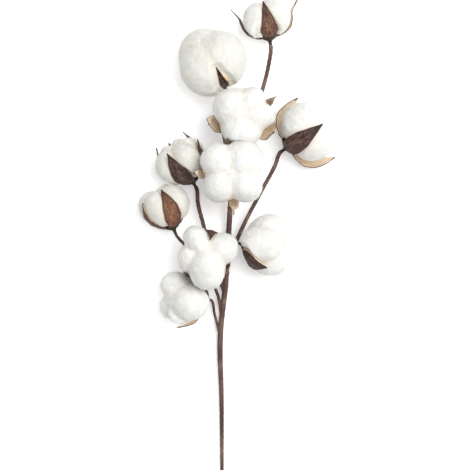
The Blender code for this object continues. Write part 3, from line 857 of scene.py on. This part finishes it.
def turned_outwards(mesh, middle):
    """Turns the mesh's faces away from the middle, all together."""
    total = sum((face.center - middle).dot(face.normal) * face.area for face in mesh.polygons)
    if total < 0:
        mesh.flip_normals()
    return mesh


def set_values(mesh, **named_values):
    """Gives the vertices named attributes, each with one value for all or one for each."""
    for name, values in named_values.items():
        attribute = mesh.attributes.new(name, "FLOAT", "POINT")
        values = np.broadcast_to(values, len(mesh.vertices)).astype(np.float32)
        attribute.data.foreach_set("value", values)


def set_surface(mesh, across, along):
    """Gives the mesh a UV map from each vertex's place on a valve: across it, and up it."""
    places = np.stack([across.ravel(), along.ravel()], -1).astype(np.float32)
    layer = mesh.uv_layers.new(name="valve")
    loops = np.empty(len(mesh.loops), np.int32)
    mesh.loops.foreach_get("vertex_index", loops)
    layer.data.foreach_set("uv", places[loops].ravel())


def add_object(name, data, materials=()):
    for material in materials:
        data.materials.append(material)
    made = bpy.data.objects.new(name, data)
    bpy.context.scene.collection.objects.link(made)
    return made


def add_group(obj, group, **values):
    """Puts a Geometry Nodes group on the object, with these inputs."""
    modifier = obj.modifiers.new(group.name, "NODES")
    modifier.node_group = group
    for socket in group.interface.items_tree:
        if socket.in_out == "INPUT" and socket.name in values:
            modifier[socket.identifier] = values[socket.name]


def plain_mesh(obj):
    """The object as its modifiers leave it, as a mesh of its own."""
    graph = bpy.context.evaluated_depsgraph_get()
    evaluated = obj.evaluated_get(graph)
    return bpy.data.meshes.new_from_object(
        evaluated, preserve_all_data_layers=True, depsgraph=graph
    )


def made_plain(obj):
    """The object with its modifiers turned into a plain mesh."""
    mesh = plain_mesh(obj)
    obj.modifiers.clear()
    old, obj.data = obj.data, mesh
    bpy.data.meshes.remove(old)
    return obj


def joined(name, objects):
    """One mesh object from several, each of which is a plain mesh."""
    whole = objects[0]
    chosen = {"selected_objects": objects, "selected_editable_objects": objects}
    with bpy.context.temp_override(active_object=whole, object=whole, **chosen):
        bpy.ops.object.join()
    whole.name = whole.data.name = name
    whole.data.shade_smooth()
    return whole


# --- Cotton ---


def cotton_columns(boll, beta):
    """Angles round the axis of one ring's points. The columns follow the valves' edges."""
    angles = []
    steps = np.arange(HALF_VALVE_COLUMNS) / HALF_VALVE_COLUMNS
    for index in range(boll.count()):
        start = valve_angle(boll, index, beta)
        gap = valve_angle(boll, index + 1, beta) - start
        edges = []
        for valve in (index, (index + 1) % boll.count()):
            half = valve_half_angle(boll, valve, min(beta, valve_end(boll, valve)))
            edges.append(min(max(half, LEAST_HALF_VALVE), MOST_OF_GAP * gap))
        near, far = edges
        free = round(math.degrees(boll.gap(index)) / COLUMN_STEP)
        angles.extend(start + near * steps)
        angles.extend(start + near + (gap - near - far) * np.arange(free) / free)
        angles.extend(start + gap - far + far * steps)
    return np.array(angles)


def cotton_body(boll):
    """The cotton's surface as a closed mesh, which knows where it is loose or creased."""
    betas = np.arange(1, RINGS) * (math.pi / RINGS)
    phi = np.array([cotton_columns(boll, beta) for beta in betas])
    beta = np.repeat(betas[:, None], phi.shape[1], axis=1)
    distance, loose = cotton_surface(boll, beta, phi)
    ends = np.array([NEAR_POLE, math.pi - NEAR_POLE])
    (foot, top), loose_ends = cotton_surface(boll, ends, np.zeros(2))
    rays = direction(beta, phi)
    rings = rays * distance[..., None]
    poles = [[0, 0, -foot], [0, 0, top]]
    mesh = closed_shell(boll.name + "_lint", rings, poles, boll.matrix())
    creased = np.append(crease(boll, rays).ravel(), (0, 0))
    loose = np.append(loose.ravel(), loose_ends)
    set_values(mesh, loose=loose, crease=creased, cream=boll.cream)
    mesh.shade_smooth()
    return mesh


def laid_fibres(tree, given, body, loose, seeded):
    """Loose curly fibres laid over the body of lint, thinnest at their ends."""
    density = tree.product(given["Fibre Density"], loose)
    sockets = {"Mesh": body, "Density": density, "Seed": given["Seed"]}
    roots = tree.add("GeometryNodeDistributePointsOnFaces", sockets).outputs
    half = tree.product(given["Fibre Length"], 0.5)
    sockets = {"Start": tree.combined(X=tree.product(half, -1.0)), "End": tree.combined(X=half)}
    line = tree.geometry("CurvePrimitiveLine", sockets)
    fibre = tree.geometry("ResampleCurve", {"Curve": line, "Count": FIBRE_POINTS})

    random = "FunctionNodeRandomValue"
    sockets = {"Min": -FIBRE_TURN, "Max": FIBRE_TURN, "Seed": given["Seed"]}
    turn = tree.add(random, sockets, data_type="FLOAT_VECTOR").outputs[0]
    sockets = {"Rotation": roots["Rotation"], "Rotate By": turn}
    turned = tree.add("FunctionNodeRotateRotation", sockets, rotation_space="LOCAL").outputs[0]
    sizes = tree.add(random, dict(zip((2, 3), FIBRE_SIZES)), data_type="FLOAT").outputs[1]
    sockets = {"Points": roots["Points"], "Instance": fibre, "Rotation": turned, "Scale": sizes}
    laid = tree.geometry("InstanceOnPoints", sockets)
    strands = tree.geometry("RealizeInstances", {"Geometry": laid})

    wander = tree.noise(seeded, FIBRE_WAVES, 1.0, output="Color")
    bend = tree.vector_maths("SUBTRACT", wander, (0.5, 0.5, 0.5))
    sockets = {"Geometry": strands, "Offset": tree.scaled(bend, given["Fibre Curl"])}
    curled = tree.geometry("SetPosition", sockets)
    along = tree.geometry("SplineParameter", output="Factor")
    from_middle = tree.maths("SUBTRACT", tree.product(along, 2.0), 1.0)
    middle = tree.maths("SUBTRACT", 1.0, tree.maths("ABSOLUTE", from_middle))
    girth = tree.maths("ADD", tree.product(middle, 1 - FIBRE_TIP), FIBRE_TIP)
    sockets = {"Resolution": FIBRE_SIDES, "Radius": given["Fibre Radius"]}
    ring = tree.geometry("CurvePrimitiveCircle", sockets)
    return tree.above_ground(tree.swept(curled, ring, girth), given["Ground"])


def new_lint_group(material):
    """Geometry Nodes that raise lumps and tufts on a smooth cotton body and lay loose fibres
    over it."""
    group, tree, given = new_group("lint", LINT_INPUTS)
    place = tree.geometry("InputPosition")
    seeded = tree.vector_maths("ADD", place, tree.combined(X=given["Seed"]))
    loose = tree.named("loose")
    height = 0.0
    for label, distortion in LINT_DISTORTION.items():
        scale = tree.maths("DIVIDE", 1.0, given[label + " Size"])
        rise = tree.maths("SUBTRACT", tree.noise(seeded, scale, 1.0, distortion), 0.5)
        height = tree.maths("ADD", height, tree.product(rise, given[label + " Height"]))
    height = tree.product(height, 2.0, loose)
    body = tree.pushed_out(given["Geometry"], height, given["Ground"])
    both = tree.add("GeometryNodeJoinGeometry")
    for part in (laid_fibres(tree, given, body, loose, seeded), body):
        tree.fill(both, {"Geometry": part})
    tree.end(both.outputs[0], material)
    return group


def make_cotton(boll, group, material):
    lint = add_object(boll.name + "_lint", cotton_body(boll), [material])
    add_group(lint, group, Seed=boll.seed)
    return made_plain(lint)


# --- Bur ---


def make_valve(boll, index):
    """One dry valve: a thin pointed shell with a raised keel, wavy edges, a bent tip, and
    long edges that roll back to show the lining."""
    planes = press_planes(boll)
    share, across = np.meshgrid(
        np.linspace(0, 1, VALVE_ROWS + 1), np.linspace(-1, 1, VALVE_COLUMNS + 1), indexing="ij"
    )
    beta = VALVE_START + share * (valve_end(boll, index) - VALVE_START)
    flat = np.zeros_like(share)
    own = boll.seed * 7.3 + index * 2.1
    edge_wave = waves(np.stack([share * 5, 7 * np.sign(across), flat], -1), own)
    ripple = waves(np.stack([share * 7, across * 2.5, flat], -1), own + 40)
    free = smoothstep((share - FREE_START) / FREE_LENGTH)
    half = valve_half_angle(boll, index, beta) * (1 + EDGE_WAVE * edge_wave * free)

    body = np.clip(across, -ROLL_START, ROLL_START)
    rolled = (np.abs(across) - np.abs(body)) / (1 - ROLL_START)
    first, second = boll.roll[index]
    angle = np.radians(np.where(across < 0, first, second)) * rolled * free
    curl = boll.curl * smoothstep((1 - share) / ROLL_FADE)
    takes_up = np.where(angle > ROLLED, ROLL_TAKES_UP, 1)
    unrolled = rolled * (1 - ROLL_START) * half * takes_up
    aside = curl * np.sin(angle) / (boll.sphere() * np.sin(beta))
    phi = valve_angle(boll, index, beta) + body * half + np.sign(across) * (unrolled + aside)
    rays = direction(beta, phi)
    distance = valve_distance(boll, index, beta, rays, planes)
    keel = KEEL_HEIGHT * np.exp(-((across / KEEL_WIDTH) ** 2)) * (1 - share)
    raised = curl * (1 - np.cos(angle)) + RIPPLE * ripple * free
    distance = pressed(distance + keel + raised, rays, planes, VALVE_THICKNESS / 2)

    mesh = bpy.data.meshes.new("valve")
    points = (rays * distance[..., None]).reshape(-1, 3).tolist()
    mesh.from_pydata(points, [], grid_faces(*share.shape, False))
    mesh.transform(boll.matrix())
    set_surface(mesh, across / 2 + 0.5, share)
    set_values(mesh, tone=boll.tone[index], straw=boll.straw[index])
    return turned_outwards(mesh, boll.middle())


def cup_rings(boll, around):
    """(radius, height) of each ring of the cup in the boll's frame, at the angles around it:
    up the bowl from its middle, down its outside, over the calyx's teeth, down the stalk."""
    inner, outer = boll.sphere() - CUP_THICKNESS / 2, boll.sphere() + CUP_THICKNESS / 2
    rim, collar = boll.edge(CUP_RADIUS), boll.edge(CALYX_RADIUS)
    circle = np.stack([np.cos(around), np.sin(around), 0 * around], -1)
    uneven = 1 + CUP_UNEVENNESS * waves(circle * 2, boll.seed)
    teeth = 0.5 + 0.5 * np.cos(CALYX_TEETH * around)
    teeth = teeth * (1 + TOOTH_UNEVENNESS * waves(circle * 5, boll.seed + 30))

    bowl = [(inner, rim * share) for share in np.linspace(0, 1, 9)]
    bowl += [(outer, rim + (collar - rim) * share) for share in np.linspace(0, 1, 8)]
    rings = [(r * math.sin(beta) * uneven, -r * math.cos(beta)) for r, beta in bowl]
    side, base = outer * math.sin(collar), -outer * math.cos(collar)
    for out, up, tooth_out, tooth_up in COLLAR_RINGS:
        rings.append((side + out + tooth_out * teeth, base + up + tooth_up * teeth))
    for share in NECK_SHARES:
        width = side + NECK_MARGIN + (STALK_RADIUS * NECK_FLARE - side) * share**NECK_CURVE
        rings.append((width, base - NECK_START - (NECK_END - NECK_START) * share))
    for share in STALK_SHARES:
        width = STALK_RADIUS * (NECK_FLARE - (NECK_FLARE - 1) * min(share * 3, 1))
        rings.append((width, -outer - STALK_START - (STALK_LENGTH - STALK_START) * share))
    return rings


def cup_mesh(boll):
    """The cup that holds the cotton, its toothed calyx and the stalk."""
    around = np.arange(CUP_COLUMNS) / CUP_COLUMNS * 2 * math.pi
    rings = []
    for radius, height in cup_rings(boll, around):
        height = np.broadcast_to(height, CUP_COLUMNS)
        rings.append(np.stack([radius * np.cos(around), radius * np.sin(around), height], -1))
    poles = [(0, 0, rings[end][0, 2]) for end in (0, -1)]
    mesh = closed_shell("cup", np.array(rings[1:]), poles, boll.matrix())
    ring, column = np.divmod(np.arange(len(mesh.vertices)), CUP_COLUMNS)
    set_surface(mesh, column / CUP_COLUMNS * CUP_PATTERNS, ring * CUP_PATTERN_STEP)
    set_values(mesh, tone=CUP_TONE, straw=0.0)
    return mesh


def make_bur(boll, materials):
    """The cup and its valves. materials are the outside's and the lining's."""
    pieces = []
    for index in range(boll.count()):
        valve = add_object("valve", make_valve(boll, index), materials)
        wall = valve.modifiers.new("Wall", "SOLIDIFY")
        wall.thickness, wall.offset = VALVE_THICKNESS, 0
        wall.material_offset, wall.material_offset_rim = 1, 0
        pieces.append(made_plain(valve))
    pieces.append(add_object("cup", cup_mesh(boll), materials))
    bur = joined(boll.name + "_husk", pieces)
    bur.data.set_sharp_from_angle(angle=SHARP_EDGE)
    return bur


# --- Stems ---


def centreline(points, radii, end_direction):
    """A smooth curve through the points, with a radius at each. It may end along a
    direction."""
    curve = bpy.data.curves.new("centreline", "CURVE")
    curve.dimensions = "3D"
    curve.resolution_u = STEM_CURVE_POINTS
    spline = curve.splines.new("BEZIER")
    spline.bezier_points.add(len(points) - 1)
    for point, place, radius in zip(spline.bezier_points, points, radii):
        point.co = place
        point.radius = radius
        point.handle_left_type = point.handle_right_type = "AUTO"
    if end_direction is not None:
        last = spline.bezier_points[-1]
        last.handle_left_type = last.handle_right_type = "FREE"
        last.handle_left = last.co - end_direction * STEM_END_HANDLE
        last.handle_right = last.co + end_direction * STEM_END_HANDLE
    return add_object("centreline", curve)


def new_tape_group(material):
    """Geometry Nodes that wind tape round a centreline: a tube with a spiral ridge."""
    group, tree, given = new_group("taped_stem", STEM_INPUTS)
    sockets = {"Curve": given["Geometry"], "Length": given["Step"]}
    line = tree.geometry("ResampleCurve", sockets, mode="LENGTH")
    line = tree.stored(line, "far", tree.geometry("SplineParameter", output="Length"))
    ring = tree.geometry("CurvePrimitiveCircle", {"Resolution": given["Sides"], "Radius": 1.0})
    ring = tree.stored(ring, "turn", tree.geometry("SplineParameter", output="Factor"))
    tube = tree.swept(line, ring, tree.geometry("InputRadius"))

    far, turn = tree.named("far"), tree.named("turn")
    winds = tree.maths("ADD", tree.maths("DIVIDE", far, given["Tape Width"]), turn)
    edge = tree.maths("POWER", tree.maths("FRACT", winds), 3.0)
    place = tree.geometry("InputPosition")
    uneven = tree.maths("SUBTRACT", tree.noise(place, STEM_WAVES, 2.0), 0.5)
    wobble = tree.product(uneven, given["Wobble"], 2.0)
    height = tree.maths("ADD", tree.product(edge, given["Ridge"]), wobble)
    wound = tree.pushed_out(tube, height, given["Ground"])
    wrap = tree.combined(X=turn, Y=far)
    tree.end(tree.stored(wound, "wrap", wrap, "FLOAT2", "CORNER"), material)
    return group


def make_stem(material):
    """The main stem and a side stem to each boll, all wound with tape."""
    group = new_tape_group(material)
    routes = [([Vector(p[:3]) + SHIFT for p in MAIN_STEM], [p[3] for p in MAIN_STEM], None)]
    for boll in BOLLS:
        radius, route = SIDE_STEMS[boll.name]
        points = [Vector(point) + SHIFT for point in route]
        points.append(boll.stalk_end() - boll.axis() * SEAT_GAP)
        routes.append((points, [radius] * len(points), boll.axis()))
    pieces = []
    for route in routes:
        line = centreline(*route)
        add_group(line, group)
        mesh = plain_mesh(line)
        bpy.data.objects.remove(line)
        pieces.append(add_object("tube", mesh))
    return joined("taped_stem", pieces)


# --- Studio ---


def make_studio():
    mesh = bpy.data.meshes.new("floor")
    corners = [(-1, -1, 0), (1, -1, 0), (1, 1, 0), (-1, 1, 0)]
    mesh.from_pydata([Vector(corner) * FLOOR_REACH for corner in corners], [], [(0, 1, 2, 3)])
    add_object("floor", mesh, [new_material("studio_floor", floor_finish)])

    scene = bpy.context.scene
    scene.world = bpy.data.worlds.new("studio")
    scene.world.use_nodes = True
    backdrop = scene.world.node_tree.nodes["Background"]
    backdrop.inputs["Color"].default_value = (1, 1, 1, 1)
    backdrop.inputs["Strength"].default_value = BACKDROP_STRENGTH
    for name, place, size, power in LAMPS:
        light = bpy.data.lights.new(name, "AREA")
        light.size, light.energy = size, power
        lamp = add_object(name, light)
        lamp.location = place
        lamp.rotation_euler = (-Vector(place)).to_track_quat("-Z", "Y").to_euler()

    lens = bpy.data.cameras.new("camera")
    lens.sensor_width = SENSOR_WIDTH
    lens.lens = SENSOR_WIDTH * VIEW_DISTANCE / VIEW_WIDTH
    scene.camera = add_object("camera", lens)
    scene.camera.location = (SHIFT.x, SHIFT.y, CAMERA_HEIGHT)
    scene.view_settings.view_transform = "Standard"


def main():
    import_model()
    cotton = new_material("cotton_lint", cotton_finish)
    outside = new_material("valve_outside", husk_finish)
    lining = new_material("valve_inside", lining_finish)
    lint_group = new_lint_group(cotton)
    for boll in BOLLS:
        lint = make_cotton(boll, lint_group, cotton)
        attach(lint, "root")
        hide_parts(boll.name + "_cotton")
        bur = make_bur(boll, (outside, lining))
        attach(bur, "root")
        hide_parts(boll.name + "_bur")
    stem = make_stem(new_material("stem_tape", tape_finish))
    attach(stem, "root")
    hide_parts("stem")
    make_studio()


main()
